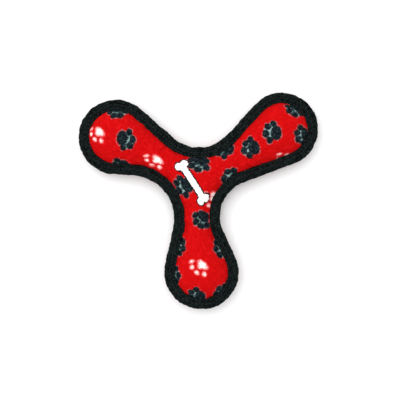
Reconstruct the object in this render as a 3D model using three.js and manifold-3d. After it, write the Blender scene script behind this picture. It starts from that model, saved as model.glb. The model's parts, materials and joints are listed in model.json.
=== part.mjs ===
// A soft three-armed boomerang: two printed fleece faces over canvas liners, stuffed with fibre,
// a folded binding sewn round the edge, and a pouched squeaker in the lobe at the end of each arm.
// Millimetres. The toy lies face up: +Z out of the front face, +Y between the two upper arms.
// The origin is the middle of the hub, on the plane that the back rests on.
import * as THREE from "three";
import { mergeVertices } from "three/addons/utils/BufferGeometryUtils.js";
import Module from "manifold-3d";

const wasm = await Module();
wasm.setup();

// Outline in plan, counter-clockwise. Each arm ends in a round lobe, and a notch arc joins it to the next.
const ARMS = [
  { name: "right", distance: 85.2, angle: 32.2, radius: 31 },
  { name: "left", distance: 79, angle: 150.5, radius: 31.7 },
  { name: "lower", distance: 76, angle: 273, radius: 31.6 },
];
const NOTCHES = [
  { distance: 62.2, angle: 88.4, radius: 32.2 },
  { distance: 64.8, angle: 208.6, radius: 37.6 },
  { distance: 58.4, angle: 330.6, radius: 31.1 },
];

// Fullness of the stuffed faces, measured from the seam plane, which lies this far above the floor.
// The weight of the toy flattens the back where it meets the floor.
const SEAM_HEIGHT = 13;
const FACES = [
  { name: "front", up: 1, hub: 12.6, neck: 10.8, lobe: 17, limit: Infinity },
  { name: "back", up: -1, hub: 15.6, neck: 11.6, lobe: 17, limit: SEAM_HEIGHT },
];
const NECK_STATION = 0.35; // share of the way from the hub to the lobe's centre
const CROWN = { power: 2.4, round: 0.62 };

// Cloth layers, from the outer face inwards.
const GAP = 0.3;
const SEAM_GAP = GAP / 2; // each half of the toy stands off the seam plane by this much
const FLEECE = 1.0;
const CANVAS = 0.6;
const FLANGE_TOP = SEAM_GAP + CANVAS + GAP + FLEECE; // half the sewn stack at the edge
const FLANGE_START = 3.2; // raw edges of the cloth, inside the fold of the binding
const DOME_EDGE = 9.6; // inset of the foot of the stuffed dome
const SLANT = 1.2; // how much more a layer measures upright where the dome is steep

// Binding tape folded over the edge, and the thread rows that hold it.
const TAPE = 1.1;
const TAPE_TOP = FLANGE_TOP + GAP + TAPE;
const TAPE_INSET = 9;
const STITCH_INSETS = { outer: 4.7, inner: 7.9 };
const THREAD_RADIUS = 0.3;

// Squeaker, with its axis upright at the centre of each lobe, measured from the seam plane.
const BULB = { radius: 13, half: 7, wall: 0.9, neck: 4, power: 2.5 };
const PLUG = { radius: 3.7, bore: 2, foot: 0.6, lip: 5, lipFoot: 7.3, top: 7.9, bar: 1 };
const REED = { thick: 0.3, width: 2.6, length: 5 };
const POUCH = { cloth: 0.5, radius: 14.2, flange: 17, front: 8.2, back: 7.3, power: 3, seam: 15.9 };
const POUCH_THREAD_HEIGHT = SEAM_GAP + POUCH.cloth + GAP + THREAD_RADIUS;

// Mesh resolution: steps along each stretch of the edge, round the tape's fold, and out over an oval.
const STEPS = { notch: 3, side: 1, shoulder: 2, cap: 8, fold: 4, innerFold: 2, bulb: 3, pouch: 4 };
const DOME_LEVELS = [0, 0.32, 0.62, 0.87, 1];
const ROUND_SEGMENTS = 16;
const THREAD_SIDES = 4;
const SMALLEST_AREA = 1e-6;
const MERGE_DISTANCE = 1e-3;

const radians = (degrees) => (degrees * Math.PI) / 180;
const heading = (angle) => new THREE.Vector2(Math.cos(angle), Math.sin(angle));
const smooth = (x) => x * x * (3 - 2 * x);
const lerp = (a, b, share) => a + (b - a) * share;

function circle({ distance, angle, radius }) {
  return { centre: heading(radians(angle)).multiplyScalar(distance), radius };
}

// Angle, at the lobe's centre, of the point where the straight side leaves the lobe for a notch.
function tangentAngle(lobe, notch, side) {
  const across = notch.centre.clone().sub(lobe.centre);
  const lean = Math.acos((lobe.radius + notch.radius) / across.length());
  return across.angle() + side * lean;
}

// The equivalent of an angle that lies within half a turn of another.
function nearest(angle, other) {
  return angle + 2 * Math.PI * Math.round((other - angle) / (2 * Math.PI));
}

// Points along an arc, each with the unit vector that points into the toy.
function arcSamples(arc, from, to, steps, intoToy) {
  return Array.from({ length: steps }, (_, i) => {
    const normal = heading(lerp(from, to, i / steps));
    const point = arc.centre.clone().addScaledVector(normal, arc.radius);
    return { point, inward: normal.multiplyScalar(intoToy) };
  });
}

// One side of an arm, from the middle of a notch out to the lobe's widest point. turn is -1 on the
// clockwise side of the arm and 1 on the other.
function sideSamples(arm, notchSpec, turn) {
  const lobe = circle(arm);
  const notch = circle(notchSpec);
  const axis = radians(arm.angle);
  const shoulder = axis + (turn * Math.PI) / 2;
  const tangent = nearest(tangentAngle(lobe, notch, -turn), shoulder);
  const middle = nearest(radians(notchSpec.angle) + Math.PI, tangent + Math.PI);
  const arc = arcSamples(notch, middle, tangent + Math.PI, STEPS.notch, 1);
  const inward = heading(tangent).negate();
  const foot = notch.centre.clone().addScaledVector(inward, notch.radius);
  const head = lobe.centre.clone().addScaledVector(inward, -lobe.radius);
  const line = Array.from({ length: STEPS.side }, (_, i) => ({
    point: foot.clone().lerp(head, i / STEPS.side),
    inward,
  }));
  const round = arcSamples(lobe, tangent, shoulder, STEPS.shoulder, -1);
  return [...arc, ...line, ...round];
}

// The samples of one arm's edge, counter-clockwise. Each also has the point on the arm's spine that
// it is drawn towards, and that point's station: 0 at the hub and 1 at the lobe's centre.
function armSamples(index) {
  const arm = ARMS[index];
  const before = NOTCHES[(index + NOTCHES.length - 1) % NOTCHES.length];
  const axis = heading(radians(arm.angle));
  const clockwise = sideSamples(arm, before, -1);
  const counter = sideSamples(arm, NOTCHES[index], 1);
  const along = clockwise.map((s, i) => (s.point.dot(axis) + counter[i].point.dot(axis)) / 2);
  const station = (i) => (along[i] - along[0]) / (arm.distance - along[0]);
  const withSpine = (sample, share) => ({
    ...sample,
    station: share,
    spine: axis.clone().multiplyScalar(arm.distance * share),
  });
  const start = radians(arm.angle) - Math.PI / 2;
  const cap = arcSamples(circle(arm), start, start + Math.PI, STEPS.cap, -1);
  const firstSide = clockwise.map((s, i) => withSpine(s, station(i)));
  const tip = cap.map((s) => withSpine(s, 1));
  const lobe = circle(arm);
  const end = heading(start + Math.PI);
  const shoulder = withSpine(
    { point: lobe.centre.clone().addScaledVector(end, lobe.radius), inward: end.clone().negate() },
    1,
  );
  const secondSide = counter.map((s, i) => withSpine(s, station(i))).slice(1);
  return [...firstSide, ...tip, shoulder, ...secondSide.reverse()];
}

const EDGE = ARMS.flatMap((_, index) => armSamples(index));

// A ring of points at an inset from the edge, drawn in to a share of the way from the spine.
function ring(inset, share, height) {
  return EDGE.map((sample) => {
    const foot = sample.point.clone().addScaledVector(sample.inward, inset);
    const plan = sample.spine.clone().lerp(foot, share);
    return new THREE.Vector3(plan.x, plan.y, height(sample.station, share));
  });
}

function fullness({ hub, neck, lobe }, station) {
  if (station < NECK_STATION) return lerp(hub, neck, smooth(station / NECK_STATION));
  return lerp(neck, lobe, smooth((station - NECK_STATION) / (1 - NECK_STATION)));
}

// Height of a cloth surface that lies some depth under the outer face. A share of 1 is the foot of
// the dome and the flat flange outside it.
function surfaceHeight(face, depth, station, share) {
  const rise = fullness(face, station) - FLANGE_TOP;
  const crown = (1 - share ** CROWN.power) ** CROWN.round;
  const upright = share < 1 ? depth * (1 + SLANT * share ** 3) : depth;
  const height = Math.min(FLANGE_TOP + rise * crown, face.limit) - upright;
  return SEAM_HEIGHT + face.up * height;
}

// Triangles between consecutive rings. They face up where the rings run outwards and side is 1.
function skin(rings, side = 1) {
  const points = [];
  const addTriangle = (a, b, c) => {
    const area = b.clone().sub(a).cross(c.clone().sub(a)).length();
    if (area > SMALLEST_AREA) points.push(...(side > 0 ? [a, b, c] : [a, c, b]));
  };
  for (let level = 0; level + 1 < rings.length; level++) {
    const [inner, outer] = [rings[level], rings[level + 1]];
    for (let i = 0; i < inner.length; i++) {
      const next = (i + 1) % inner.length;
      addTriangle(inner[i], outer[i], outer[next]);
      addTriangle(inner[i], outer[next], inner[next]);
    }
  }
  return points;
}

const surface = (points) => new THREE.BufferGeometry().setFromPoints(points);

// Closed body between two surfaces that both run outwards.
function between(upper, lower) {
  const wall = [upper.at(-1), lower.at(-1)];
  return surface([...skin(upper), ...skin(wall), ...skin(lower, -1)]);
}

function toSolid(geometry) {
  const bare = new THREE.BufferGeometry();
  bare.setAttribute("position", geometry.getAttribute("position"));
  if (geometry.index) bare.setIndex(geometry.index);
  const merged = mergeVertices(bare, MERGE_DISTANCE);
  return new wasm.Manifold(
    new wasm.Mesh({
      numProp: 3,
      vertProperties: merged.attributes.position.array,
      triVerts: new Uint32Array(merged.index.array),
    }),
  );
}

function toGeometry(solid) {
  const mesh = solid.getMesh();
  return new THREE.BufferGeometry()
    .setAttribute("position", new THREE.BufferAttribute(mesh.vertProperties, 3))
    .setIndex(new THREE.BufferAttribute(mesh.triVerts, 1));
}

function finish(colour, roughness) {
  return new THREE.MeshStandardMaterial({ color: colour, roughness, metalness: 0 });
}

const FINISHES = {
  fleece: finish(0xd31616, 0.95),
  canvas: finish(0xcfc8b6, 0.85),
  tape: finish(0x151c1c, 0.95),
  thread: finish(0x0c0f10, 0.7),
  fibre: finish(0xf2f1ec, 0.95),
  pouch: finish(0xe9e6dd, 0.9),
  bulb: finish(0xe6ddc2, 0.45),
  plug: finish(0xf4f4f0, 0.4),
  reed: finish(0x9fb4bd, 0.3),
};

const toy = new THREE.Group();

function addPiece(name, material, geometry, parent = toy) {
  geometry.computeVertexNormals();
  const mesh = new THREE.Mesh(geometry, FINISHES[material]);
  mesh.name = name;
  parent.add(mesh);
  return mesh;
}

// One cloth surface of a face's dome, as rings from the spine outwards.
function domeRings(face, depth, levels) {
  const level = (station, share) => surfaceHeight(face, depth, station, share);
  return levels.map((share) => ring(DOME_EDGE, share, level));
}

// The same surface with its flange, out to the raw edge of the cloth.
function clothRings(face, depth) {
  const flange = ring(FLANGE_START, 1, () => surfaceHeight(face, depth, 0, 1));
  return [...domeRings(face, depth, DOME_LEVELS), flange];
}

// A cloth layer between two depths under the outer face.
function layer(face, outerDepth, innerDepth) {
  const depths = face.up > 0 ? [outerDepth, innerDepth] : [innerDepth, outerDepth];
  return between(...depths.map((depth) => clothRings(face, depth)));
}

function addCloth(face) {
  const lining = FLEECE + GAP;
  addPiece(`${face.name}_face_panel`, "fleece", layer(face, 0, FLEECE));
  addPiece(`${face.name}_canvas_liner`, "canvas", layer(face, lining, lining + CANVAS));
}

// Folded tape: a U section that wraps the edge of the sewn stack.
function addBinding() {
  const inside = TAPE_TOP - TAPE;
  const bend = (radius, steps) =>
    Array.from({ length: steps + 1 }, (_, i) => {
      const angle = Math.PI * (0.5 - i / steps);
      return [TAPE_TOP - radius * Math.cos(angle), radius * Math.sin(angle)];
    });
  const section = [
    [TAPE_INSET, inside],
    [TAPE_INSET, TAPE_TOP],
    ...bend(TAPE_TOP, STEPS.fold),
    [TAPE_INSET, -TAPE_TOP],
    [TAPE_INSET, -inside],
    ...bend(inside, STEPS.innerFold).reverse(),
    [TAPE_INSET, inside],
  ];
  const rings = section.map(([inset, height]) => ring(inset, 1, () => SEAM_HEIGHT + height));
  addPiece("edge_binding", "tape", surface(skin(rings)));
}

// One row of stitching, laid on the binding as a thread all the way round.
function addStitchRow(face, row, inset) {
  const centre = face.up * (TAPE_TOP + GAP + THREAD_RADIUS);
  const rings = Array.from({ length: THREAD_SIDES + 1 }, (_, i) => {
    const angle = (-2 * Math.PI * i) / THREAD_SIDES;
    const height = SEAM_HEIGHT + centre + THREAD_RADIUS * Math.sin(angle);
    return ring(inset - THREAD_RADIUS * Math.cos(angle), 1, () => height);
  });
  addPiece(`${face.name}_${row}_stitch_row`, "thread", surface(skin(rings)));
}

// Points of a rounded profile: height falls from its full value on the axis to nothing at a radius.
function oval(radius, height, power, start, steps) {
  return Array.from({ length: steps + 1 }, (_, i) => {
    const r = start + (radius - start) * Math.sin((Math.PI / 2) * (i / steps));
    return new THREE.Vector2(r, height * Math.sqrt(Math.max(0, 1 - (r / radius) ** power)));
  });
}

// A turned piece: the profile is given in radius and height, and the axis is upright.
function turned(profile) {
  return new THREE.LatheGeometry(profile, ROUND_SEGMENTS).rotateX(Math.PI / 2);
}

const flip = (points) => points.map((p) => new THREE.Vector2(p.x, -p.y)).reverse();

// Blow-moulded bulb, hollow and open at the neck.
function bulb() {
  const { radius, half, wall, neck, power } = BULB;
  const outer = oval(radius, half, power, neck, STEPS.bulb);
  const inner = oval(radius - wall, half - wall, power, neck, STEPS.bulb);
  const outerBase = flip(oval(radius, half, power, 0, STEPS.bulb)).slice(1);
  const innerBase = flip(oval(radius - wall, half - wall, power, 0, STEPS.bulb)).slice(1);
  return turned([...outerBase.reverse(), ...outer.reverse(), ...inner, ...innerBase]);
}

// Plug with a bore and a bar across its mouth that holds the reed.
function plug() {
  const { radius, bore, foot, lip, lipFoot, top, bar } = PLUG;
  const profile = [
    [bore, foot],
    [radius, foot],
    [radius, lipFoot],
    [lip, lipFoot],
    [lip, top],
    [bore, top],
    [bore, foot],
  ].map(([r, z]) => new THREE.Vector2(r, z));
  const across = new THREE.BoxGeometry(bar, 2 * bore + bar, bar);
  across.translate(0, 0, lipFoot - bar / 2);
  return toGeometry(toSolid(turned(profile)).add(toSolid(across)));
}

// Profile of one half of the cloth pouch, a dome over the bulb and a flat flange, or of the same shape
// grown by a clearance.
function pouchProfile(height, grow) {
  const { cloth: thick, radius, flange, power } = POUCH;
  const inner = oval(radius - grow, height - grow, power, 0, STEPS.pouch);
  const outer = oval(radius + thick + grow, height + thick + grow, power, 0, STEPS.pouch);
  const shift = (points) => points.map((p) => new THREE.Vector2(p.x, p.y + SEAM_GAP));
  const rim = [
    new THREE.Vector2(radius + thick + grow, thick + SEAM_GAP + grow),
    new THREE.Vector2(flange + grow, thick + SEAM_GAP + grow),
    new THREE.Vector2(flange + grow, SEAM_GAP),
  ];
  return { inner: shift(inner), outer: shift(outer).filter((p) => p.y > rim[0].y), rim };
}

function pouchHalf(height, up) {
  const { inner, outer, rim } = pouchProfile(height, 0);
  const profile = [...outer, ...rim, ...inner.reverse()].reverse();
  return turned(up > 0 ? profile : flip(profile));
}

// The room that a pouch half and its thread take up in the filling.
function pouchRoom(height, up) {
  const { outer, rim } = pouchProfile(height, GAP);
  const threadTop = POUCH_THREAD_HEIGHT + THREAD_RADIUS + GAP;
  rim[0].y = threadTop;
  rim[1].y = threadTop;
  const floor = new THREE.Vector2(rim[2].x, -GAP);
  const domed = outer.filter((p) => p.y > threadTop);
  const profile = [...domed, rim[0], rim[1], floor, new THREE.Vector2(0, -GAP)].reverse();
  return turned(up > 0 ? profile : flip(profile));
}

// Upright place of a lobe's centre, on the seam plane.
function lobeCentre(arm) {
  const { centre } = circle(arm);
  return new THREE.Vector3(centre.x, centre.y, SEAM_HEIGHT);
}

// Half of the stuffing, flat at the seam plane, with a hollow for each pouch.
function addFilling(face) {
  const depth = FLEECE + CANVAS + 2 * GAP;
  const levels = DOME_LEVELS.slice(0, -1);
  const flat = () => SEAM_HEIGHT + face.up * SEAM_GAP;
  const split = [0, levels.at(-1)].map((share) => ring(DOME_EDGE, share, flat));
  const surfaces = [domeRings(face, depth, levels), split];
  let solid = toSolid(between(...(face.up > 0 ? surfaces : surfaces.reverse())));
  for (const arm of ARMS) {
    const height = face.up > 0 ? POUCH.front : POUCH.back;
    const room = pouchRoom(height, face.up).translate(...lobeCentre(arm).toArray());
    solid = solid.subtract(toSolid(room));
  }
  addPiece(`${face.name}_fibre_filling`, "fibre", toGeometry(solid));
}

function addSqueaker(arm) {
  const squeaker = new THREE.Group();
  squeaker.position.copy(lobeCentre(arm));
  toy.add(squeaker);
  addPiece(`${arm.name}_squeaker_bulb`, "bulb", bulb(), squeaker);
  addPiece(`${arm.name}_squeaker_plug`, "plug", plug(), squeaker);
  const reed = new THREE.BoxGeometry(REED.thick, REED.width, REED.length);
  const reedTop = PLUG.lipFoot - PLUG.bar - GAP;
  const reedPiece = addPiece(`${arm.name}_squeaker_reed`, "reed", reed, squeaker);
  reedPiece.position.z = reedTop - REED.length / 2;
  addPiece(`${arm.name}_pouch_front`, "pouch", pouchHalf(POUCH.front, 1), squeaker);
  addPiece(`${arm.name}_pouch_back`, "pouch", pouchHalf(POUCH.back, -1), squeaker);
  const thread = new THREE.TorusGeometry(POUCH.seam, THREAD_RADIUS, THREAD_SIDES, ROUND_SEGMENTS);
  const threadPiece = addPiece(`${arm.name}_pouch_stitching`, "thread", thread, squeaker);
  threadPiece.position.z = POUCH_THREAD_HEIGHT;
}

for (const face of FACES) {
  addCloth(face);
  addFilling(face);
  for (const [row, inset] of Object.entries(STITCH_INSETS)) addStitchRow(face, row, inset);
}
addBinding();
for (const arm of ARMS) addSqueaker(arm);

export default toy;
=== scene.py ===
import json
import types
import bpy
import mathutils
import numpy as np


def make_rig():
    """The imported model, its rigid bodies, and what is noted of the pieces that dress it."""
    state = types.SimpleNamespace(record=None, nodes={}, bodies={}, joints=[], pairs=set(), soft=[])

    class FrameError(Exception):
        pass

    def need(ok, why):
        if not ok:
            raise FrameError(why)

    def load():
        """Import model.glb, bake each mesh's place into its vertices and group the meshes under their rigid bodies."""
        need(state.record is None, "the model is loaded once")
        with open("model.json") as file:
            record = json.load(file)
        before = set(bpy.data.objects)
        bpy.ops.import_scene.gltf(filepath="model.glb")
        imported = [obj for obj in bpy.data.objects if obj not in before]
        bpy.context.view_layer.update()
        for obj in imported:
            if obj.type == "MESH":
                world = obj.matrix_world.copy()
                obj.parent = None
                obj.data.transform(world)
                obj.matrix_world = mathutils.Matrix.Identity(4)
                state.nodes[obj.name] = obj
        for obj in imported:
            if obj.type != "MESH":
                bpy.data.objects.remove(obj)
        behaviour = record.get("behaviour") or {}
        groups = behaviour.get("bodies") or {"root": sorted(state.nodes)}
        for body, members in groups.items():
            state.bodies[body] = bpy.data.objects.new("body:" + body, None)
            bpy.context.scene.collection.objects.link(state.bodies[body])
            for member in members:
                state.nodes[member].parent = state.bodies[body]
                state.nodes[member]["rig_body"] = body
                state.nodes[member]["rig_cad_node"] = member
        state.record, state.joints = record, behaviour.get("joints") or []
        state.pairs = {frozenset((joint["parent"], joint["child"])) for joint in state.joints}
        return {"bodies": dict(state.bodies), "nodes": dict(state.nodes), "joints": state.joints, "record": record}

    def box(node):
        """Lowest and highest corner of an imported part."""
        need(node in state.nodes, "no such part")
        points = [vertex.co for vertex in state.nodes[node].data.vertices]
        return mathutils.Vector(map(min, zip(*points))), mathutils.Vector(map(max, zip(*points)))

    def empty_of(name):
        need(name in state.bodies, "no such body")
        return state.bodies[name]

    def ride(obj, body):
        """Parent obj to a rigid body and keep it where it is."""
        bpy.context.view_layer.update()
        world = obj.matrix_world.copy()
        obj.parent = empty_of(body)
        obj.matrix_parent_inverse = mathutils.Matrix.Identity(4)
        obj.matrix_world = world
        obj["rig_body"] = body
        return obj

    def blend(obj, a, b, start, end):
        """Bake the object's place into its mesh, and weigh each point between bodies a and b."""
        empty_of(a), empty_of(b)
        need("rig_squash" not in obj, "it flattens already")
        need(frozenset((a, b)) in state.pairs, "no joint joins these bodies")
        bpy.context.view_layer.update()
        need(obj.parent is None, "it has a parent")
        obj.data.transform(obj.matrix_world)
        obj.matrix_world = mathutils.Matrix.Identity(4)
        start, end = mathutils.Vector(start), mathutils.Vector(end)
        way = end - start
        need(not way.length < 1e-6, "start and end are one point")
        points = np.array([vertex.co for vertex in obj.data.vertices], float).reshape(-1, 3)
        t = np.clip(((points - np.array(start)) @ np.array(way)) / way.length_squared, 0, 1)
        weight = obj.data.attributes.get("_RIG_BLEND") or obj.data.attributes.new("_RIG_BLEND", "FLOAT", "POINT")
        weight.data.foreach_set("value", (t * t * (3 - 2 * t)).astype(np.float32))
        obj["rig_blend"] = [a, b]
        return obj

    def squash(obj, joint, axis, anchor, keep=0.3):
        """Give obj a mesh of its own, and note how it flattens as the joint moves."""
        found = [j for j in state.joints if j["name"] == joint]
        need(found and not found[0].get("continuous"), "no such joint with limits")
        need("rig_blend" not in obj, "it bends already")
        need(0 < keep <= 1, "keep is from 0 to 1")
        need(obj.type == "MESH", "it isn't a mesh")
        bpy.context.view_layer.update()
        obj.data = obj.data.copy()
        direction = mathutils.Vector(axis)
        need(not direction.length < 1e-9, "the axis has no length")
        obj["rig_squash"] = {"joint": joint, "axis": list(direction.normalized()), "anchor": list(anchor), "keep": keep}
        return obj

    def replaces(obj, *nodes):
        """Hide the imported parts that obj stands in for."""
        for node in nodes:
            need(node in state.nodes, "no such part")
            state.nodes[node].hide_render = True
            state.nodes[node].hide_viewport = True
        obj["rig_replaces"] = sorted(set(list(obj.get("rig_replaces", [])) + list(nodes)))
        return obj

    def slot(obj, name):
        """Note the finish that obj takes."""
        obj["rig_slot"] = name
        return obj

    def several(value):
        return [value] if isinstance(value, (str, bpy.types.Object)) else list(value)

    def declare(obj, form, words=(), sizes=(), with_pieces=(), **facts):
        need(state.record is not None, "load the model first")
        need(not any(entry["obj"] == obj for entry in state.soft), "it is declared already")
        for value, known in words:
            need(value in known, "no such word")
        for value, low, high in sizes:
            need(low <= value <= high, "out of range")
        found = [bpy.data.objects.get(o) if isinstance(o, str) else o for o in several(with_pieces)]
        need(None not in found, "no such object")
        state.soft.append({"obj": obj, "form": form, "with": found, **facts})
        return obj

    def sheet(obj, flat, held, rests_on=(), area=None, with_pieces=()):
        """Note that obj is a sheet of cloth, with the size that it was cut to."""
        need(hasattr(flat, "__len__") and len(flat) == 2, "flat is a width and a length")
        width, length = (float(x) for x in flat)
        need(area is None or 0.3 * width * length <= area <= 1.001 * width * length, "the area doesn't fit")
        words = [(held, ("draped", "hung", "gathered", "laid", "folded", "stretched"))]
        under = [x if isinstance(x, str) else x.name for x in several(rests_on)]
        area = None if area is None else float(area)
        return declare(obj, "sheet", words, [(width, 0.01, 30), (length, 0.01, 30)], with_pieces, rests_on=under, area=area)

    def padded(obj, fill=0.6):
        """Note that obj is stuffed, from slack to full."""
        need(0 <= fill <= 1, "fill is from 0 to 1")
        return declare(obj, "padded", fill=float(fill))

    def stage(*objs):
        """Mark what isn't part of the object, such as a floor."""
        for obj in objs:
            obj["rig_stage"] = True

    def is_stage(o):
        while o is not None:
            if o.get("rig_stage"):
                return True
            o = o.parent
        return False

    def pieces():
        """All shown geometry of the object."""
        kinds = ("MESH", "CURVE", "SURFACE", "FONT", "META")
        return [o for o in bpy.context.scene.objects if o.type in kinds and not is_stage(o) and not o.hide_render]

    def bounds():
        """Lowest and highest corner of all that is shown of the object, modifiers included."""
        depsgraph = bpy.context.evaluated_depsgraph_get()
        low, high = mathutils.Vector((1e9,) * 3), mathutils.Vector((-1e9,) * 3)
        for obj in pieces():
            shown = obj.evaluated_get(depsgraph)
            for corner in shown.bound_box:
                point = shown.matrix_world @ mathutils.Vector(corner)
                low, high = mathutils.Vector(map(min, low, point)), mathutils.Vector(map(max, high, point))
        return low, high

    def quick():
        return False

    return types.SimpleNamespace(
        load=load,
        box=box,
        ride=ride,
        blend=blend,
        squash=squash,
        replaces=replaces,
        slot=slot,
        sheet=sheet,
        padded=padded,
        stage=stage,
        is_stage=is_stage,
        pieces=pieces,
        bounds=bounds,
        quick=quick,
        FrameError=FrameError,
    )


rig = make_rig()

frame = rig.load()

# The looks of a soft three-armed boomerang toy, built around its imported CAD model.

import json
import math

import bmesh
import bpy
import numpy as np
from mathutils import Vector, noise
from mathutils.bvhtree import BVHTree

CAD_BOX = [list(corner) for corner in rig.bounds()]
MM = 0.001  # every length below is in millimetres until a mesh is made

# The outline in plan, as in the CAD: (name, distance, angle, radius) of each arm's lobe, counter-clockwise,
# and (distance, angle, radius) of the notch circle after it.
ARMS = (("right", 85.2, 32.2, 31), ("left", 79, 150.5, 31.7), ("lower", 76, 273, 31.6))
NOTCHES = ((62.2, 88.4, 32.2), (64.8, 208.6, 37.6), (58.4, 330.6, 31.1))
ROOT = "toy"

# Heights: the seam plane is the middle of the binding, and the floor is at nought.
SEAM = sum(corner.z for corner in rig.box("edge_binding")) / 2 / MM
FRONT = {"up": 1, "hub": 12.6, "neck": 10.8, "lobe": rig.box("front_face_panel")[1].z / MM - SEAM}
BACK = {"up": -1, "hub": 14, "neck": 11.6, "lobe": 15.2}
FRONT_TOP = SEAM + FRONT["lobe"]
NECK_STATION = 0.35
CROWN_POWER, CROWN_ROUND = 2.4, 0.62
FLOOR_SHARPNESS = 1.6  # how sharply the back turns from its curve to the flat that rests on the floor
FLOOR_CLEARANCE = 0.02
FLANGE_TOP = 2.05
DOME_EDGE = 9.6  # inset of the foot of the stuffed dome
COVER_EDGE = 5.5  # inset of the cover's own edge, which the binding hides
COVER_SPACING, TAPE_SPACING = 2.0, 0.6  # between points along the edge
GAP = 0.3  # clearance between pieces that would touch

TRAVEL = next(j["range_m"][1] for j in frame["joints"] if j["type"] == "slide") / MM


# ---------------------------------------------------------------- outline


def headings(angles):
    angles = np.asarray(angles, float)
    return np.stack([np.cos(angles), np.sin(angles)], -1)


def lengths(arrows):
    return np.linalg.norm(arrows, axis=-1)


def circle(distance, angle, radius):
    return distance * headings(math.radians(angle)), radius


def near(angle, other):
    """The equivalent of an angle that lies within half a turn of another."""
    return angle + math.tau * round((other - angle) / math.tau)


def arc_stretch(centre, radius, start, end, into_toy):
    """The length of an arc, and a function from shares of it to places and inward directions."""

    def sample(shares):
        normals = headings(start + (end - start) * shares)
        return centre + radius * normals, into_toy * normals

    return abs(end - start) * radius, sample


def line_stretch(start, end, inward):
    """The same for a straight stretch."""

    def sample(shares):
        return start + (end - start) * shares[:, None], np.tile(inward, (len(shares), 1))

    return lengths(end - start), sample


def side_stretches(arm, notch_circle, turn):
    """One side of an arm, from the middle of a notch to the lobe's widest point."""
    centre, radius = circle(*arm[1:])
    hollow, hollow_radius = circle(*notch_circle)
    across = hollow - centre
    lean = math.acos((radius + hollow_radius) / lengths(across))
    shoulder = math.radians(arm[2]) + turn * math.pi / 2
    tangent = near(math.atan2(across[1], across[0]) - turn * lean, shoulder)
    middle = near(math.radians(notch_circle[1]) + math.pi, tangent + math.pi)
    inward = -headings(tangent)
    return [
        arc_stretch(hollow, hollow_radius, middle, tangent + math.pi, 1),
        line_stretch(hollow + hollow_radius * inward, centre - radius * inward, inward),
        arc_stretch(centre, radius, tangent, shoulder, -1),
    ]


def arm_columns(index, spacing):
    """Evenly spaced points along one arm's edge: place, inward direction, station along the spine (0 at
    the hub and 1 at the lobe's middle), place on the spine, and number of the arm."""
    arm = ARMS[index]
    axis = headings(math.radians(arm[2]))
    sides = [side_stretches(arm, NOTCHES[index - 1], -1), side_stretches(arm, NOTCHES[index], 1)]
    counts = [max(1, round((a[0] + b[0]) / 2 / spacing)) for a, b in zip(*sides)]
    shares = [np.arange(count) / count for count in counts]
    sampled = []
    for side in sides:
        parts = [sample(share) for (_, sample), share in zip(side, shares)]
        sampled.append([np.concatenate(column) for column in zip(*parts)])
    along = sum(points @ axis for points, _ in sampled) / 2
    station = (along - along[0]) / (arm[1] - along[0])
    start = math.radians(arm[2]) - math.pi / 2
    length, cap = arc_stretch(*circle(*arm[1:]), start, start + math.pi, -1)
    steps = round(length / spacing)
    cap_points, cap_inward = cap(np.arange(steps + 1) / steps)

    def out_and_back(first, cap, second):
        return np.concatenate([first, cap, second[:0:-1]])

    (first, first_in), (second, second_in) = sampled
    stations = out_and_back(station, np.ones(steps + 1), station)
    return {
        "point": out_and_back(first, cap_points, second),
        "inward": out_and_back(first_in, cap_inward, second_in),
        "station": stations,
        "spine": arm[1] * stations[:, None] * axis,
        "arm": np.full(len(stations), index),
    }


def edge_columns(spacing):
    arms = [arm_columns(index, spacing) for index in range(len(ARMS))]
    return {key: np.concatenate([arm[key] for arm in arms]) for key in arms[0]}


def smooth(share):
    """A smooth step from nought to one."""
    share = np.clip(share, 0, 1)
    return share**2 * (3 - 2 * share)


def fullness(face, station):
    """The height of a stuffed face over the seam plane, along the spine of an arm."""
    inner = face["hub"] + (face["neck"] - face["hub"]) * smooth(station / NECK_STATION)
    rest = (station - NECK_STATION) / (1 - NECK_STATION)
    return inner + (face["lobe"] - face["neck"]) * smooth(rest)


def dome_ring(columns, face, share, inset=DOME_EDGE):
    """One ring of a stuffed face: share is 0 on the spine and 1 at the foot of the dome."""
    foot = columns["point"] + inset * columns["inward"]
    plan = columns["spine"] + (foot - columns["spine"]) * share
    crown = (1 - share**CROWN_POWER) ** CROWN_ROUND
    rise = FLANGE_TOP + (fullness(face, columns["station"]) - FLANGE_TOP) * crown
    if face["up"] < 0:  # the back is pressed flat against the floor, with a soft edge to the flat
        lowered = np.logaddexp(0, (SEAM - rise) * FLOOR_SHARPNESS) / FLOOR_SHARPNESS
        rise = SEAM - lowered + FLOOR_CLEARANCE
    return np.column_stack([plan, SEAM + face["up"] * rise])


# ---------------------------------------------------------------- meshes


def added(name, data):
    """A new object in the scene, made from a mesh, a light or a camera."""
    made = bpy.data.objects.new(name, data)
    bpy.context.scene.collection.objects.link(made)
    return made


def make_piece(name, points, faces):
    """A smooth mesh object from points in millimetres."""
    mesh = bpy.data.meshes.new(name)
    mesh.from_pydata((np.asarray(points) * MM).tolist(), [], faces)
    mesh.update()
    mesh.polygons.foreach_set("use_smooth", [True] * len(mesh.polygons))
    return added(name, mesh)


def grid_faces(rows, columns, closed=False):
    """Quads over rows of points that each close on themselves."""
    faces = []
    for row in range(rows if closed else rows - 1):
        here, there = row * columns, (row + 1) % rows * columns
        for i in range(columns):
            after = (i + 1) % columns
            faces.append((here + i, there + i, there + after, here + after))
    return faces


def outward(piece, distance=0.01):
    """Joins points that share a place, and turns every face outwards."""
    bm = bmesh.new()
    bm.from_mesh(piece.data)
    bmesh.ops.remove_doubles(bm, verts=bm.verts, dist=distance * MM)
    bmesh.ops.recalc_face_normals(bm, faces=bm.faces)
    bm.to_mesh(piece.data)
    bm.free()
    return piece


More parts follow.
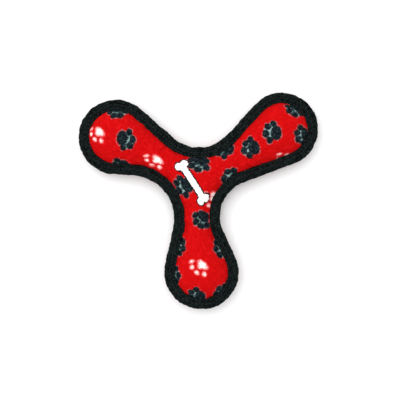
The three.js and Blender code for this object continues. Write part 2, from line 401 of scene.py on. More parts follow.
def evaluated(piece):
    """The piece with its modifiers applied."""
    graph = bpy.context.evaluated_depsgraph_get()
    made = bpy.data.meshes.new_from_object(piece.evaluated_get(graph), depsgraph=graph)
    piece.modifiers.clear()
    piece.data = made
    return piece


def modified(piece, kind, **settings):
    modifier = piece.modifiers.new(kind, kind)
    for key, value in settings.items():
        setattr(modifier, key, value)
    return evaluated(piece)


def voxel_remesh(piece, size):
    return modified(piece, "REMESH", mode="VOXEL", voxel_size=size * MM, use_smooth_shade=True)


def read(items, name, width=3, kind=np.float32):
    """One value of each vertex, edge or attribute entry, as rows."""
    values = np.zeros(len(items) * width, kind)
    items.foreach_get(name, values)
    return values.reshape(-1, width)


def places(mesh):
    """Vertex positions in millimetres."""
    return read(mesh.vertices, "co").astype(float) / MM


def set_places(mesh, points):
    mesh.vertices.foreach_set("co", (np.asarray(points) * MM).astype(np.float32).ravel())
    mesh.update()


def normals_of(mesh):
    return read(mesh.vertex_normals, "vector").astype(float)


def set_vectors(mesh, name, values):
    layer = mesh.attributes.get(name) or mesh.attributes.new(name, "FLOAT_VECTOR", "POINT")
    layer.data.foreach_set("vector", np.asarray(values, np.float32).ravel())


def vectors(mesh, name):
    return read(mesh.attributes[name].data, "vector").astype(float)


SEED_SHIFT = Vector((17.3, 5.1, 29.7))  # each seed looks at another part of the noise


def lumps(points, size, seed):
    """Smooth noise from about -1 to 1 at each point, with lumps of about this size."""
    shift = seed * SEED_SHIFT
    return np.array([noise.noise(Vector(p) + shift) for p in (points / size).tolist()])


def relaxed(mesh, values, rounds):
    """Values averaged with each point's neighbours, again and again."""
    edges = read(mesh.edges, "vertices", 2, np.int32)
    ends, others = edges.T.ravel(), edges[:, ::-1].T.ravel()
    share = np.maximum(np.bincount(ends, minlength=len(values)), 1)[:, None]
    for _ in range(rounds):
        total = [np.bincount(ends, values[others, k], len(values)) for k in range(3)]
        values = (values + np.stack(total, 1) / share) / 2
    return values


def roughened(piece, layers):
    """Pushes a piece's surface in and out by layers of (height, lump size)."""
    points, normals = places(piece.data), normals_of(piece.data)
    height = sum(h * lumps(points, size, seed) for seed, (h, size) in enumerate(layers, 1))
    set_places(piece.data, points + height[:, None] * normals)
    return piece


def shell(piece, thickness):
    """Gives an open surface its thickness, on the inside, with a rim round its edge."""
    mesh = piece.data
    points, inside = places(mesh), vectors(mesh, "inward")
    cloth = vectors(mesh, "cloth")
    count = len(points)
    faces = [tuple(face.vertices) for face in mesh.polygons]
    sides = dict.fromkeys(side for face in faces for side in zip(face, (*face[1:], face[0])))
    rim = [(b, a, a + count, b + count) for a, b in sides if (b, a) not in sides]
    under = [tuple(v + count for v in reversed(face)) for face in faces]
    made = make_piece(piece.name + "_shell", [*points, *(points + thickness * inside)], faces + under + rim)
    set_vectors(made.data, "cloth", [*cloth, *cloth])
    if "shading" in mesh.attributes:
        shading = vectors(mesh, "shading")
        made.data.normals_split_custom_set_from_vertices([*shading.tolist(), *(-shading).tolist()])
    name = piece.name
    bpy.data.objects.remove(piece)
    made.name = name
    return made


def part_of(piece, name, cuts, fill=False):
    """A copy of a piece without what lies behind each cut: a point in millimetres and a direction."""
    bm = bmesh.new()
    bm.from_mesh(piece.data)
    for point, direction in cuts:
        geometry = [*bm.verts, *bm.edges, *bm.faces]
        cut = bmesh.ops.bisect_plane(
            bm, geom=geometry, plane_co=Vector(point) * MM, plane_no=direction, clear_inner=True
        )["geom_cut"]
        if fill:
            bmesh.ops.holes_fill(bm, edges=[e for e in cut if isinstance(e, bmesh.types.BMEdge)])
    mesh = bpy.data.meshes.new(name)
    bm.to_mesh(mesh)
    bm.free()
    return added(name, mesh)


def arm_cuts(index):
    """The two upright cuts, from the hub to the notches beside an arm, that leave that arm."""
    before, after = (math.radians(NOTCHES[i][1]) for i in (index - 1, index))
    return [
        ((0, 0, 0), (-math.sin(before), math.cos(before), 0)),
        ((0, 0, 0), (math.sin(after), -math.cos(after), 0)),
    ]


def lathe(name, profile, centre, segments=64, ripple=None):
    """A turned piece about an upright axis, from (radius, height) points."""
    profile = np.asarray(profile, float)
    angles = np.arange(segments) / segments * math.tau
    spin = headings(angles)
    points = np.zeros((len(profile), segments, 3))
    radii = np.repeat(profile[:, :1], segments, 1)
    heights = np.repeat(profile[:, 1:], segments, 1)
    if ripple:
        radii, heights = ripple(radii, heights, angles)
    points[..., :2] = radii[..., None] * spin[None]
    points[..., 2] = heights
    reach = np.cumsum(lengths(np.diff(profile, axis=0, prepend=profile[:1])))
    cloth = np.concatenate([reach[:, None, None] * spin[None], np.zeros((*radii.shape, 1))], -1)
    closed = profile[0, 0] > 0
    faces = grid_faces(len(profile), segments, closed)
    piece = make_piece(name, points.reshape(-1, 3) + centre, faces)
    set_vectors(piece.data, "cloth", cloth.reshape(-1, 3))
    return outward(piece)


# ---------------------------------------------------------------- cloth before it was stuffed

DOME_SHARES = np.sin(np.linspace(0, math.pi / 2, 18))  # the rings of a dome, closer near its foot
BACK_TURN = math.radians(120)  # the back is cut from another part of the print
# The share of the extra length over a dome that comes from the cloth stretching.
FLEECE_STRETCH = 0.55
CANVAS_STRETCH = 0.2


class FlatPattern:
    """Where each point of the stuffed faces was on the flat cloth: so far along the cloth from the spine
    of the arm, towards the seam. The print and the weave lie on it."""

    def __init__(self, columns, stretch):
        points, flat, faces = [], [], []
        for face in (FRONT, BACK):
            rings = [dome_ring(columns, face, share) for share in DOME_SHARES]
            grid = np.array([*rings, dome_ring(columns, face, 1.0, inset=COVER_EDGE)])
            moves = np.diff(grid, axis=0, prepend=grid[:1])
            steps = (1 - stretch) * lengths(moves)
            steps += stretch * lengths(moves[..., :2])
            away = grid[-1, :, :2] - columns["spine"]
            away /= lengths(away)[:, None]
            flat.append(columns["spine"] + away * np.cumsum(steps, 0)[..., None])
            base = sum(len(part) for part in points)
            faces += [tuple(v + base for v in quad) for quad in grid_faces(*grid.shape[:2])]
            points.append(grid.reshape(-1, 3))
        self.front_edge, self.back_edge = flat[0][-1], flat[1][-1]
        self.front_count = len(points[0])
        self.points = np.concatenate(points)
        self.flat = np.concatenate([f.reshape(-1, 2) for f in flat])
        self.triangles = np.array([t for a, b, c, d in faces for t in ((a, b, c), (a, c, d))])
        self.tree = BVHTree.FromPolygons(self.points.tolist(), self.triangles.tolist())

    def on_cloth(self, points):
        """The place on the printed cloth of each point of the faces, with nought for height."""
        found = [self.tree.find_nearest(p) for p in points.tolist()]
        near = np.array([place for place, _, _, _ in found])
        corners = self.triangles[[index for _, _, index, _ in found]]
        a, b, c = (self.points[corners[:, k]] for k in range(3))
        u, v, w = b - a, c - a, near - a
        uu, uv, vv, uw, vw = ((p * q).sum(1) for p, q in ((u, u), (u, v), (v, v), (u, w), (v, w)))
        area = np.maximum(uu * vv - uv * uv, 1e-12)
        shares = np.stack([(vv * uw - uv * vw) / area, (uu * vw - uv * uw) / area], 1)
        weights = np.clip(np.column_stack([1 - shares.sum(1), shares]), 0, 1)
        weights /= weights.sum(1)[:, None]
        flat = (self.flat[corners] * weights[..., None]).sum(1)
        x, y = -flat[:, 0], flat[:, 1]
        sine, cosine = math.sin(BACK_TURN), math.cos(BACK_TURN)
        turned = np.column_stack([x * cosine - y * sine, x * sine + y * cosine])
        behind = corners[:, 0] >= self.front_count
        return np.column_stack([np.where(behind[:, None], turned, flat), np.zeros(len(flat))])

    def seen_from_front(self, x, y):
        """The place on the cloth that shows at x, y from straight in front of the toy."""
        place = self.tree.ray_cast((x, y, 2 * FRONT_TOP), (0, 0, -1))[0]
        return self.on_cloth(np.array([place]))[0] if place else np.array([x, y, 0])


def cut_size(outline, angle=0.0):
    """The width, length and area of a piece of cloth as it was cut, in metres, measured along an angle."""
    x, y = outline.T * MM
    along = x * math.cos(angle) + y * math.sin(angle)
    across = y * math.cos(angle) - x * math.sin(angle)
    area = abs((x * np.roll(y, 1) - y * np.roll(x, 1)).sum()) / 2
    return {"flat": (np.ptp(across), np.ptp(along)), "area": area}


# ---------------------------------------------------------------- stuffed body

VOXEL = 1.5
SIM_SCALE = 10  # simulated ten times its size, where the cloth solver is at ease
SIM_FRAMES = 20
SIM_SLACK = 0.04  # spare cloth, which gathers into puckers
HELD_HEIGHT = FLANGE_TOP + 0.6  # the cloth is held at the seam up to here, on each side of the seam plane
EASE_ROUNDS = 60  # the general swelling is taken out, and the puckers are kept
WRINKLE_CAP = 0.9
HUB_CALM = 24  # puckers fade out within this distance of the hub's middle


def stuffed_body(columns):
    """Both faces as one closed body, with the flange that the binding covers."""
    front = [dome_ring(columns, FRONT, share) for share in DOME_SHARES]
    back = [dome_ring(columns, BACK, share) for share in DOME_SHARES[::-1]]
    edges = [dome_ring(columns, face, 1.0, inset=COVER_EDGE) for face in (FRONT, BACK)]
    grid = np.array([*front, *edges, *back])
    return outward(make_piece("stuffed_body", grid.reshape(-1, 3), grid_faces(*grid.shape[:2])))


def gathered(piece):
    """Simulates the faces as cloth blown out by the filling and held at the seam, and keeps the puckers."""
    start = places(piece.data)
    set_places(piece.data, start * SIM_SCALE)
    held = piece.vertex_groups.new(name="held")
    at_seam = np.abs(start[:, 2] - SEAM) < HELD_HEIGHT
    held.add(np.flatnonzero(at_seam).tolist(), 1.0, "REPLACE")
    modifier = piece.modifiers.new("cloth", "CLOTH")
    cloth = modifier.settings
    cloth.quality = 6
    cloth.mass = 0.2
    cloth.tension_stiffness = cloth.compression_stiffness = 20
    cloth.shear_stiffness = 8
    cloth.bending_stiffness = 0.3
    cloth.use_pressure = True
    cloth.uniform_pressure_force = 4
    cloth.shrink_min = -SIM_SLACK
    cloth.vertex_group_mass = held.name
    cloth.effector_weights.gravity = 0
    modifier.collision_settings.use_collision = False
    modifier.collision_settings.use_self_collision = False
    modifier.point_cache.frame_start, modifier.point_cache.frame_end = 1, SIM_FRAMES
    for step in range(1, SIM_FRAMES + 1):
        bpy.context.scene.frame_set(step)
    evaluated(piece)
    bpy.context.scene.frame_set(1)
    moved = places(piece.data) / SIM_SCALE - start
    puckers = moved - relaxed(piece.data, moved, EASE_ROUNDS)
    size = lengths(puckers)[:, None]
    calm = np.clip(lengths(start[:, :2]) / HUB_CALM, 0, 1)[:, None] ** 2
    puckers *= calm * WRINKLE_CAP / np.maximum(size, WRINKLE_CAP)
    set_places(piece.data, start + puckers)
    piece.vertex_groups.clear()
    return piece


def rested(piece):
    """Presses anything below the floor flat against it."""
    points = places(piece.data)
    points[:, 2] = np.maximum(points[:, 2], FLOOR_CLEARANCE)
    set_places(piece.data, points)
    return piece


# ---------------------------------------------------------------- riding with the press

PRESS_LEAN = math.radians(6)  # the cloth gives way upright and a little along the arm
PRESS_START = 26.2  # how far along that lean the cloth starts to give
PRESS_MARGIN = 0.3  # the cloth gives in full this far below the crown


def gives(piece, index):
    """The cloth over a squeaker goes down with its plug, and the seam and the hub stay."""
    name, distance, angle, _ = ARMS[index]
    axis = headings(math.radians(angle))
    lean = Vector((*(axis * math.sin(PRESS_LEAN)), math.cos(PRESS_LEAN)))
    end = lean.dot(Vector((*(axis * distance), FRONT_TOP))) - PRESS_MARGIN
    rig.blend(piece, ROOT, f"{name}_plug", start=lean * PRESS_START * MM, end=lean * end * MM)
    return piece


def by_arm(piece, name, finish, fill=False):
    """Splits a front layer into one piece for each arm, which gives way with that arm's squeaker."""
    made = []
    for index, (arm, *_) in enumerate(ARMS):
        part = finish(part_of(piece, f"{name}_{arm}", arm_cuts(index), fill))
        made.append(gives(part, index))
    return made


# ---------------------------------------------------------------- binding and stitches

TAPE_WIDTH = 22  # before it is folded
TAPE_EDGE = 9.75  # inset of the tape's inner edge
TAPE_HEIGHT = 3.85
TAPE_FOLD = 2.8  # inset where the fold round the edge begins
TAPE_ROLL = 0.8  # radius of the tape's inner edge
TAPE_SLOPE = 0.07
TAPE_LIFT = 0.1  # clearance over the covers' flange
TAPE_LUMPS = [(0.32, 5.5), (0.3, 2.1), (0.16, 1.1)]  # height and size
TAPE_NOISE_HEIGHT = 50.0  # the tape's waver is read from the noise at this height
# The inside of the fold, as (inset, height) from the edge of the covers inwards.
TAPE_INSIDE = [(2.0, 0.0), (2.4, 1.2), (3.4, 2.0), (5.0, FLANGE_TOP + 0.15)]
ROWS = {"outer": 4.7, "inner": 7.9}  # insets of the stitches
CHANNEL = {"depth": 0.55, "half": 0.5}  # the stitches pull the tape in
JOIN_THREADS = 1e-4  # points of a thread are joined only this near to each other
STITCH = {"pitch": 3.0, "length": 2.2, "radius": 0.27, "dip": 0.4, "sides": 6}


def channel(inset):
    """The share of the channels' depth at an inset."""
    return sum(np.exp(-(((inset - row) / CHANNEL["half"]) ** 2)) for row in ROWS.values())


def tape_height(inset):
    """How far the tape's surface stands off the seam plane."""
    inset = np.asarray(inset, float)
    fold = np.clip(1 - inset / TAPE_FOLD, 0, 1)
    top = (TAPE_HEIGHT - TAPE_SLOPE * inset) * (1 - fold**2.2) ** 0.5
    roll = np.clip((inset - TAPE_EDGE + TAPE_ROLL) / TAPE_ROLL, 0, 1)
    foot = FLANGE_TOP + TAPE_LIFT
    rolled = foot + (top - foot) * np.sqrt(np.maximum(0, 1 - roll**2))
    return np.where(inset < TAPE_FOLD, top, rolled - CHANNEL["depth"] * channel(inset))


def tape_ring(columns, inset, height):
    """A line on the tape all the way round, with the waver of a hand-fed edge."""
    along = np.column_stack([columns["point"], np.full(len(columns["point"]), TAPE_NOISE_HEIGHT)])
    inner = 0.8 * lumps(along, 9, 1)
    outer = 0.5 * lumps(along, 11, 2) + 0.35 * lumps(along, 3.2, 4)
    share = inset / TAPE_EDGE
    shift = outer + (inner - outer) * share
    pucker = 0.3 * lumps(along, 5.5, 3) * np.sin(math.pi * min(1, share)) * np.sign(height)
    plan = columns["point"] + columns["inward"] * (inset + shift)[:, None]
    return np.column_stack([plan, SEAM + height + pucker])


def binding(columns):
    """The tape, folded round the edge: its section, swept all the way round the toy."""
    fold = TAPE_FOLD * (1 - np.cos(np.linspace(0, math.pi / 2, 9)))
    flat = np.linspace(TAPE_FOLD, TAPE_EDGE - TAPE_ROLL, 19)[1:]
    roll = TAPE_EDGE - TAPE_ROLL + TAPE_ROLL * np.sin(np.linspace(0, math.pi / 2, 5))[1:]
    top = [(i, float(tape_height(i))) for i in (*fold, *flat, *roll)]
    half = [*TAPE_INSIDE, *reversed(top[1:])]
    section = [*half, (0.0, 0.0), *[(i, -h) for i, h in reversed(half[1:])]]
    grid = np.array([tape_ring(columns, i, h) for i, h in section])
    faces = grid_faces(*grid.shape[:2], closed=True)
    return roughened(outward(make_piece("binding_tape", grid.reshape(-1, 3), faces)), TAPE_LUMPS)


def threads(name, paths):
    """Stitches as separate capsules: each path is a line of points, and its ends go down into the cloth."""
    points, faces, cloth = [], [], []
    sides = STITCH["sides"]
    around = np.arange(sides) / sides * math.tau
    for path in paths:
        step = np.gradient(path, axis=0)
        step /= lengths(step)[:, None]
        side = np.cross(step, (0, 0, 1.0))
        side /= lengths(side)[:, None]
        up = np.cross(side, step)
        taper = STITCH["radius"] * np.sqrt(1 - np.linspace(-0.98, 0.98, len(path)) ** 6)
        ring = np.cos(around)[:, None, None] * side + np.sin(around)[:, None, None] * up
        rows = (path + ring * taper[:, None]).transpose(1, 0, 2)
        base = len(points)
        points += rows.reshape(-1, 3).tolist()
        reach = np.linspace(0, STITCH["length"], len(path))
        cloth += [(r, a / math.tau, 0) for r in reach for a in around]
        faces += [tuple(v + base for v in quad) for quad in grid_faces(len(path), sides)]
        faces.append(tuple(base + i for i in range(sides)))
        faces.append(tuple(base + (len(path) - 1) * sides + i for i in reversed(range(sides))))
    piece = make_piece(name, points, faces)
    set_vectors(piece.data, "cloth", cloth)
    return outward(piece, JOIN_THREADS)


def stitches(name, line, up):
    """Evenly spaced stitches along a closed line of points."""
    closed = np.concatenate([line, line[:1]])
    reach = np.concatenate([[0], np.cumsum(lengths(np.diff(closed, axis=0)))])
    count = round(reach[-1] / STITCH["pitch"])
    paths = []
    for start in np.arange(count) / count * reach[-1]:
        share = np.linspace(0, 1, 7)
        where = (start + share * STITCH["length"]) % reach[-1]
        path = np.stack([np.interp(where, reach, closed[:, k]) for k in range(3)], 1)
        path[:, 2] -= up * STITCH["dip"] * (2 * share - 1) ** 4
        paths.append(path)
    return threads(name, paths)


# ---------------------------------------------------------------- squeakers

BULB = {"radius": 13, "half": 7, "wall": 0.9, "neck": 4, "power": 2.5}
PARTING = {"height": 0.16, "half": 0.35}  # the raised line round the bulb where its mould closed
PLUG = {"radius": 3.7, "bore": 2, "foot": 0.6, "lip": 5, "lip_foot": 7.3, "top": 7.9, "bar": 1, "round": 0.18}
BAR_ROUND = 0.15
POUCH = {"cloth": 0.5, "radius": 14.2, "flange": 17, "front": 8.2, "back": 7.3, "power": 3, "seam": 15.9}
POUCH_DISC = 41  # each half is cut as a round piece this wide
GATHER = {"height": 0.28, "size": 1.6, "spread": 9}  # folds of the pouch, fanned out from its middle


def oval(radius, height, power, start, steps):
    """(radius, height) points from near the axis out to the widest point."""
    r = start + (radius - start) * np.sin(np.linspace(0, math.pi / 2, steps))
    return np.column_stack([r, height * np.sqrt(np.maximum(0, 1 - (r / radius) ** power))])


def flipped(profile):
    return (profile * (1, -1))[::-1]


def rounded(corners, radius):
    """A closed profile with each corner cut to a small curve."""
    corners, points = np.asarray(corners, float), []
    for before, corner, after in zip(np.roll(corners, 1, 0), corners, np.roll(corners, -1, 0)):
        a = corner + radius * (before - corner) / lengths(before - corner)
        b = corner + radius * (after - corner) / lengths(after - corner)
        points += [a, a * 0.3 + b * 0.3 + corner * 0.4, b]
    return points


def bulb(name, centre):
    """A hollow bulb, flat above and below, with its neck open at the top."""
    radius, half, wall, neck, power = BULB.values()
    outer = oval(radius, half, power, neck, 22)
    base = flipped(oval(radius, half, power, 0, 26))
    inside = oval(radius - wall, half - wall, power, neck, 18)
    inside_base = flipped(oval(radius - wall, half - wall, power, 0, 20))
    outer[:, 0] += PARTING["height"] * np.exp(-((outer[:, 1] / PARTING["half"]) ** 2))
    profile = [*base[::-1], *outer[::-1][1:], *inside, *inside_base[1:]]
    return lathe(name, profile, centre, 72)


def plug(name, centre):
    """A turned plug with a lip and a bore, and a bar across the bore."""
    radius, bore, foot, lip, lip_foot, top, bar, edge = PLUG.values()
    corners = [(bore, foot), (radius, foot), (radius, lip_foot), (lip, lip_foot), (lip, top), (bore, top)]
    body = lathe(name, rounded(corners, edge), centre, 48)
    mesh = bpy.data.meshes.new("bar")
    bm = bmesh.new()
    bmesh.ops.create_cube(bm, size=1)
    bmesh.ops.scale(bm, vec=Vector((bar, 2 * bore + bar, bar)) * MM, verts=bm.verts)
    bmesh.ops.bevel(bm, geom=[*bm.verts, *bm.edges], offset=BAR_ROUND * MM, segments=2, affect="EDGES")
    bmesh.ops.translate(bm, vec=Vector(centre + (0, 0, lip_foot - bar / 2)) * MM, verts=bm.verts)
    bm.to_mesh(mesh)
    bm.free()
    cross = added("bar", mesh)
    modified(body, "BOOLEAN", operation="UNION", object=cross, solver="EXACT")
    bpy.data.objects.remove(cross)
    return body


def pouch_half(name, centre, height, up):
    """Half of a cloth pouch: a dome over the bulb, puckered towards its seam, and a flat flange."""
    thick, radius, flange = (POUCH[key] for key in ("cloth", "radius", "flange"))

    def gathers(radii, heights, angles):
        spots = np.column_stack([headings(angles), np.full(len(angles), up)]) * GATHER["spread"]
        wave = lumps(spots + centre, GATHER["size"], 4)
        dome = np.clip(radii / radius, 0, 1) ** 2 * (np.abs(heights) > thick + 0.5)
        return radii, heights + up * GATHER["height"] * wave * dome

    inner = oval(radius, height, POUCH["power"], 0, 22)
    outer = oval(radius + thick, height + thick, POUCH["power"], 0, 22)
    outer = outer[outer[:, 1] > thick + 0.05]
    rim = [(radius + thick, thick), ((radius + flange) / 2, thick), (flange, thick), (flange, 0)]
    profile = np.array([*outer, *rim, *inner[::-1]]) + (0, GAP / 2)
    return lathe(name, profile * (1, up), centre, 72, gathers)


# ---------------------------------------------------------------- materials


def srgb(red, green, blue):
    """A colour as it looks on screen, from 0 to 255, as the light it reflects."""
    levels = np.array([red, green, blue]) / 255
    return (*np.where(levels < 0.04045, levels / 12.92, ((levels + 0.055) / 1.055) ** 2.4).tolist(), 1)


class Finish:
    """Builds one material's nodes. Each value is a number, a colour, a vector or another node's output."""

    def __init__(self, name):
        self.material = bpy.data.materials.new(name)
        self.material.use_nodes = True
        self.tree = self.material.node_tree
        self.shader = self.tree.nodes["Principled BSDF"]

    def put(self, socket, value):
        if isinstance(value, bpy.types.NodeSocket):
            self.tree.links.new(value, socket)
        else:
            socket.default_value = value

    def node(self, kind, values=(), **settings):
        made = self.tree.nodes.new("ShaderNode" + kind)
        for key, setting in settings.items():
            setattr(made, key, setting)
        for key, value in dict(values).items():
            self.put(made.inputs[key], value)
        return made

    def math(self, operation, a, b=0.0):
        return self.node("Math", {0: a, 1: b}, operation=operation).outputs[0]

    def vector(self, operation, a, b=(0, 0, 0), result="Vector"):
        return self.node("VectorMath", {0: a, 1: b}, operation=operation).outputs[result]

    def length(self, a):
        return self.vector("LENGTH", a, result="Value")

    def scaled(self, a, factor):
        return self.vector("MULTIPLY", a, (factor,) * 3)

    def total(self, a, a_share, b, b_share):
        return self.math("ADD", self.math("MULTIPLY", a, a_share), self.math("MULTIPLY", b, b_share))

    def step(self, value, start, end, low=0.0, high=1.0):
        """A smooth step from low, where the value is at start, to high, where it is at end."""
        values = {"Value": value, "From Min": start, "From Max": end, "To Min": low, "To Max": high}
        return self.node("MapRange", values, interpolation_type="SMOOTHSTEP").outputs["Result"]

    def mix(self, share, a, b):
        """From colour a, where the share is nought, to colour b, where it is one."""
        return self.node("Mix", {0: share, 6: a, 7: b}, data_type="RGBA").outputs[2]

    def choose(self, share, a, b):
        """The same for vectors."""
        return self.node("Mix", {0: share, 4: a, 5: b}, data_type="VECTOR").outputs[1]

    def framed(self, where, place, turn, scale=(1, 1, 1)):
        """A place as it is in a frame that stands at another place, turned and scaled."""
        values = {"Vector": where, "Location": place, "Rotation": (0, 0, turn), "Scale": scale}
        return self.node("Mapping", values, vector_type="TEXTURE").outputs[0]

    def noise(self, where, size, detail=2.0, roughness=0.5, distortion=0.0, result="Fac"):
        values = {"Vector": where, "Scale": 1 / size, "Detail": detail}
        values |= {"Roughness": roughness, "Distortion": distortion}
        return self.node("TexNoise", values).outputs[result]

    def cloth(self):
        """Where a point is on the flat cloth, in millimetres."""
        return self.node("Attribute", attribute_name="cloth").outputs["Vector"]

    def place(self):
        """Where a point is on the toy, in millimetres."""
        where = self.node("TexCoord").outputs["Object"]
        return self.scaled(where, 1 / MM)

    def done(self, colour, roughness, height=None, depth=0.0, **constants):
        """Depth is how high the bumps are, in millimetres."""
        self.put(self.shader.inputs["Base Color"], colour)
        self.put(self.shader.inputs["Roughness"], roughness)
        if height is not None:
            bump = self.node("Bump", {"Height": height, "Distance": depth * MM, "Strength": 1.0})
            self.put(self.shader.inputs["Normal"], bump.outputs["Normal"])
        for key, value in constants.items():
            self.shader.inputs[key.replace("_", " ")].default_value = value
        return self.material


RED = srgb(196, 10, 12)
# the next red is painted shade in the hollows of the pile, and partly the fleece's own mottling
PILE_SHADE_RED = srgb(167, 5, 8)
BRIGHT_RED = srgb(217, 23, 25)
# the first ink is painted shade: the ink in the hollows of the pile
PILE_SHADE_INK, INK, THIN_INK = srgb(6, 11, 15), srgb(24, 33, 37), srgb(44, 66, 70)
DULL_TEAL, TEAL, RIM = srgb(36, 52, 56), srgb(134, 162, 158), srgb(140, 122, 126)
PINK, WHITE = srgb(238, 120, 122), srgb(255, 243, 238)
# the duller chalk is painted shade: the bone's white in the hollows of the pile
BONE_EDGE, PILE_SHADE_CHALK, CHALK = srgb(18, 20, 22), srgb(238, 226, 226), srgb(255, 250, 250)
INK_DRIFT = 2.6  # how far the pile carries the ink about
# Printed paws on the front of the toy: the middle of each, and how it is turned.
DARK_PAWS = [
    (-58.1, 35.0, 121), (62.0, 42.3, -48), (43.7, 29.2, -37), (27.4, 5.0, -60), (1.2, 15.6, 20),
    (-12.2, -3.2, -18), (3.7, -31.6, 20), (-66.9, 59.4, 60), (-61.2, 12.4, -20), (82.0, 61.2, 24),
    (88.2, 39.5, -20), (21.4, 26.9, -30), (-14.3, -51.9, 150), (19.3, -56.2, 0), (-18.3, -78.5, 120),
    (-0.9, -95.3, -40), (22.0, -94.8, -60),
]
PALE_PAWS = [
    (-84.2, 40.3, 0), (-36.1, 17.5, 0), (73.2, 19.0, 0), (11.8, -14.4, 0), (1.6, -70.8, 0),
]
PALE_FLAG = 0.02  # height of a pale paw's place, which marks it and is too small to matter
PAW_MIDDLE = (-3.0, -1.7)  # from the middle of a paw's pad to the middle of the paw
# The ovals of a paw, from the middle of its pad: place, half length, half width, and turn.
DARK_PADS = [
    ((0.7, 0.7), 6.3, 4.7, -42),
    ((-6.7, 4.0), 3.2, 2.6, 5),
    ((-8.2, -1.2), 3.2, 2.8, 20),
    ((-4.9, -6.3), 3.4, 2.8, -30),
    ((1.7, -7.2), 3.1, 2.8, -45),
]
PALE_PADS = [
    ((0.4, 0.4), 5.3, 2.9, -42),
    ((-1.5, -0.9), 2.6, 2.2, -42),
    ((-9.0, 3.6), 2.3, 1.5, 12),
    ((-8.7, -1.2), 2.0, 2.0, 80),
    ((-4.6, -6.0), 2.3, 1.7, -35),
    ((1.7, -7.4), 2.2, 1.9, -60),
]
WEB = [((-3.4, -1.9), 7.2, 6.2, -50)]  # between a dark paw's ovals the ink has bled
BONE = {"place": (-3.2, 0.4, 0), "turn": -57, "half": 15.0, "radius": 2.4}
KNOB = {"place": (17.0, 2.7, 0), "radius": 3.1}  # of the bone, in its own frame


def nearest_paw(finish, where, pattern):
    """The place of a point from the pad of the paw nearest to it, with the pale flag as its height."""
    best = near = None
    for x, y, turn in DARK_PAWS + PALE_PAWS:
        flag = PALE_FLAG if (x, y, turn) in PALE_PAWS else 0
        turn = math.radians(turn)
        middle = pattern.seen_from_front(x, y)
        shift = PAW_MIDDLE[0] * headings(turn) + PAW_MIDDLE[1] * headings(turn + math.pi / 2)
        pad = middle - (*shift, flag)
        away = finish.vector("DISTANCE", where, tuple(middle), result="Value")
        local = finish.framed(where, tuple(pad), turn)
        if best is None:
            best, near = local, away
            continue
        best = finish.choose(finish.math("LESS_THAN", away, near), best, local)
        near = finish.math("MINIMUM", away, near)
    return best


def outside_ovals(finish, where, ovals):
    """Distance outside the nearest of some ovals, and less than nought inside one."""
    distance = None
    for (x, y), length, width, turn in ovals:
        local = finish.framed(where, (x, y, 0), math.radians(turn), (length, width, 1))
        away = finish.math("MULTIPLY", finish.math("SUBTRACT", finish.length(local), 1.0), width)
        distance = away if distance is None else finish.math("MINIMUM", distance, away)
    return distance


def outside_bone(finish, where):
    """Distance outside a plain bone shape: a bar with two knobs at each end."""
    folded = finish.vector("ABSOLUTE", finish.framed(where, BONE["place"], math.radians(BONE["turn"])))
    bar = finish.vector("MAXIMUM", finish.vector("SUBTRACT", folded, (BONE["half"], 0, 0)), (0, 0, 0))
    to_bar = finish.math("SUBTRACT", finish.length(bar), BONE["radius"])
    knob = finish.vector("SUBTRACT", folded, KNOB["place"])
    to_knob = finish.math("SUBTRACT", finish.length(knob), KNOB["radius"])
    return finish.math("MINIMUM", to_bar, to_knob)


def pile(finish, where):
    """Height of brushed fleece: soft lumps with fine strands over them."""
    soft = finish.noise(where, 2.2, 3, 0.6)
    fine = finish.noise(where, 0.5, 4, 0.7, distortion=0.6)
    return finish.total(soft, 0.6, fine, 0.4)


def red_ground(finish, where, nap):
    """Brushed red, with painted shade between the lumps of the pile that also mottles it, and brighter in worn patches.
    """
    # painted shade: the red goes darker where the pile's bump is low
    red = finish.mix(finish.step(nap, 0.3, 0.6), PILE_SHADE_RED, RED)
    patches = finish.step(finish.noise(where, 4.5, 3, 0.6), 0.48, 0.75, 0.0, 0.5)
    return finish.mix(patches, red, BRIGHT_RED)


def dark_paw(finish, where, paw, ground, shade):
    """Near-black ovals of ink, with bare teal cloth between them and a broken pale rim."""
    distance = outside_ovals(finish, paw, DARK_PADS)
    web = finish.step(outside_ovals(finish, paw, WEB), 0.9, -0.9)
    bare = finish.step(finish.noise(where, 3.0, 2), 0.44, 0.62)
    rim = finish.step(distance, 1.0, 0.3, 0.0, finish.math("MULTIPLY", bare, 0.55))
    colour = finish.mix(rim, ground, RIM)
    colour = finish.mix(web, colour, finish.mix(bare, DULL_TEAL, TEAL))
    thin = finish.step(finish.noise(where, 2.2, 3), 0.5, 0.68, 0.0, 0.6)
    # painted shade: the ink goes darker where the pile's bump is low
    ink = finish.mix(thin, finish.mix(shade, PILE_SHADE_INK, INK), THIN_INK)
    return finish.mix(finish.step(distance, 0.35, -0.45), colour, ink)


def pale_paw(finish, where, paw, ground):
    """Ovals of worn white ink, pink where the red shows through."""
    distance = outside_ovals(finish, paw, PALE_PADS)
    worn = finish.step(finish.noise(where, 1.4, 2), 0.35, 0.62, 0.0, 0.9)
    white = finish.mix(finish.step(finish.math("ADD", distance, worn), 0.6, -1.6), PINK, WHITE)
    return finish.mix(finish.step(distance, 0.8, -0.7), ground, white)


def with_bone(finish, place, colour, shade):
    """The bone over the hub, with a dark line round it."""
    distance = outside_bone(finish, place)
    colour = finish.mix(finish.step(distance, 1.35, 0.95), colour, BONE_EDGE)
    # painted shade: the bone's white goes duller where the pile's bump is low
    chalk = finish.mix(shade, PILE_SHADE_CHALK, CHALK)
    return finish.mix(finish.step(distance, 0.25, -0.15), colour, chalk)


